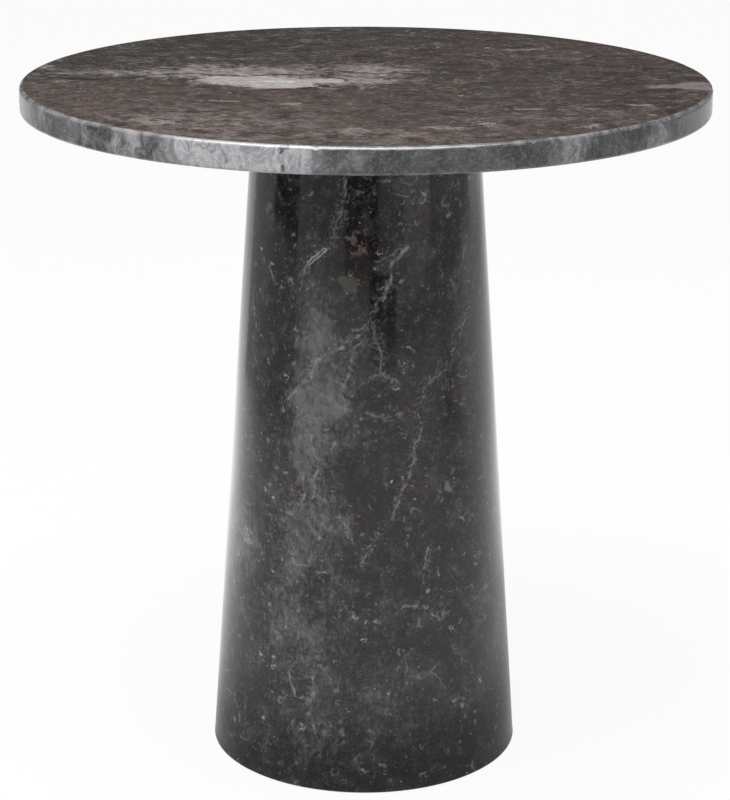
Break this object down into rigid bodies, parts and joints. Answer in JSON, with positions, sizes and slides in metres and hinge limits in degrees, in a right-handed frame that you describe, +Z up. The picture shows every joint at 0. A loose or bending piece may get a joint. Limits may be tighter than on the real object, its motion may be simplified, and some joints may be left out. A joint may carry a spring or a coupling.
{
  "type": "round pedestal table",
  "caption": "Round stone table: a thin polished disc on a tapered, hollow stone pedestal, held by a hidden tie rod, with levelling feet in the foot.",
  "frame": {"origin": "on the floor, under the centre of the table", "axes": "+Z up along the pedestal's axis; +X to the right and +Y away from the viewer in the front view"},
  "size_m": [0.74, 0.74, 0.76],
  "materials": {
    "stone_top": "polished",
    "stone_pedestal": "polished",
    "brass_inserts": "satin",
    "steel_plate": "satin",
    "zinc_steel": "satin",
    "nylon": "satin",
    "rubber_ring": "matte",
    "cork_ring": "matte",
    "felt": "matte"
  },
  "bodies": {
    "root": {"table_top": "stone_top", "top_inserts": "brass_inserts", "top_plate": "steel_plate", "top_plate_screws": "zinc_steel", "top_plate_washers": "zinc_steel", "centring_ring": "nylon", "joint_gasket": "rubber_ring", "turn_dowels": "zinc_steel", "pedestal": "stone_pedestal", "rod_socket": "steel_plate", "rod_jam_nut": "zinc_steel", "tie_rod": "zinc_steel", "base_gasket": "cork_ring", "base_plate": "steel_plate", "rod_plate_washer": "zinc_steel", "rod_spring_washer": "zinc_steel", "rod_nut": "zinc_steel", "felt_ring": "felt", "leveller_inserts": "brass_inserts"},
    "leveller_1": {"leveller_stud_1": "zinc_steel", "leveller_pad_1": "nylon"},
    "leveller_2": {"leveller_stud_2": "zinc_steel", "leveller_pad_2": "nylon"},
    "leveller_3": {"leveller_stud_3": "zinc_steel", "leveller_pad_3": "nylon"},
    "leveller_4": {"leveller_stud_4": "zinc_steel", "leveller_pad_4": "nylon"}
  },
  "joints": [
    {"name": "leveller_1_winds_out", "type": "slide", "parent": "root", "child": "leveller_1", "axis": [0, 0, -1], "range_m": [0, 0.012]},
    {"name": "leveller_2_winds_out", "type": "slide", "parent": "root", "child": "leveller_2", "axis": [0, 0, -1], "range_m": [0, 0.012]},
    {"name": "leveller_3_winds_out", "type": "slide", "parent": "root", "child": "leveller_3", "axis": [0, 0, -1], "range_m": [0, 0.012]},
    {"name": "leveller_4_winds_out", "type": "slide", "parent": "root", "child": "leveller_4", "axis": [0, 0, -1], "range_m": [0, 0.012]}
  ]
}
